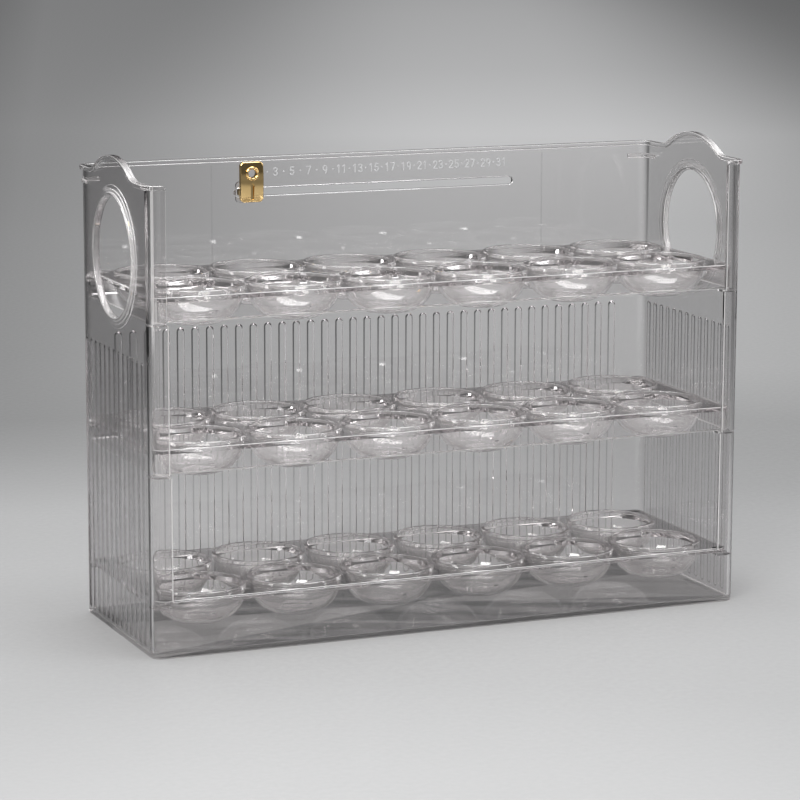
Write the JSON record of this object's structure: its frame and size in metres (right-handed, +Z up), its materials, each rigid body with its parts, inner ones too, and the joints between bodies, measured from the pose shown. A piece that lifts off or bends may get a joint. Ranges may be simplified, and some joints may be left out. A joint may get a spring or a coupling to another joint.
{
  "type": "clear three-tier egg holder",
  "caption": "Clear rigid-plastic egg holder with three cup trays in an open-front case, flip-up upper trays and a gold date tag.",
  "frame": {"origin": "centre of the object's box on the surface that it stands on", "axes": "+X to the right, +Y to the back, +Z up; the open front faces -Y"},
  "size_m": [0.3282, 0.1122, 0.2446],
  "materials": {
    "clear_plastic": "clear, rigid, polished, with a faint warm tint in the edges",
    "gold_metal": "polished gold plate",
    "frosted_marks": "frosted"
  },
  "bodies": {
    "case": {"case_body": "clear_plastic", "bottom_tray": "clear_plastic", "date_scale": "frosted_marks"},
    "middle_tier": {"middle_tray": "clear_plastic", "middle_tray_hinge_pins": "clear_plastic"},
    "top_tier": {"top_tray": "clear_plastic", "top_tray_hinge_pins": "clear_plastic"},
    "slider": {"slider_tag": "gold_metal", "slider_clip": "clear_plastic"}
  },
  "joints": [
    {"name": "top_tray_flip", "type": "hinge", "parent": "case", "child": "top_tier", "pos_m": [0, 0.046, 0.177], "axis": [-1, 0, 0], "range_deg": [0, 86]},
    {"name": "middle_tray_flip", "type": "hinge", "parent": "case", "child": "middle_tier", "pos_m": [0, 0.046, 0.1017], "axis": [-1, 0, 0], "range_deg": [0, 35]},
    {"name": "tag_slide", "type": "slide", "parent": "case", "child": "slider", "axis": [1, 0, 0], "range_m": [-0.0018, 0.1434]}
  ]
}
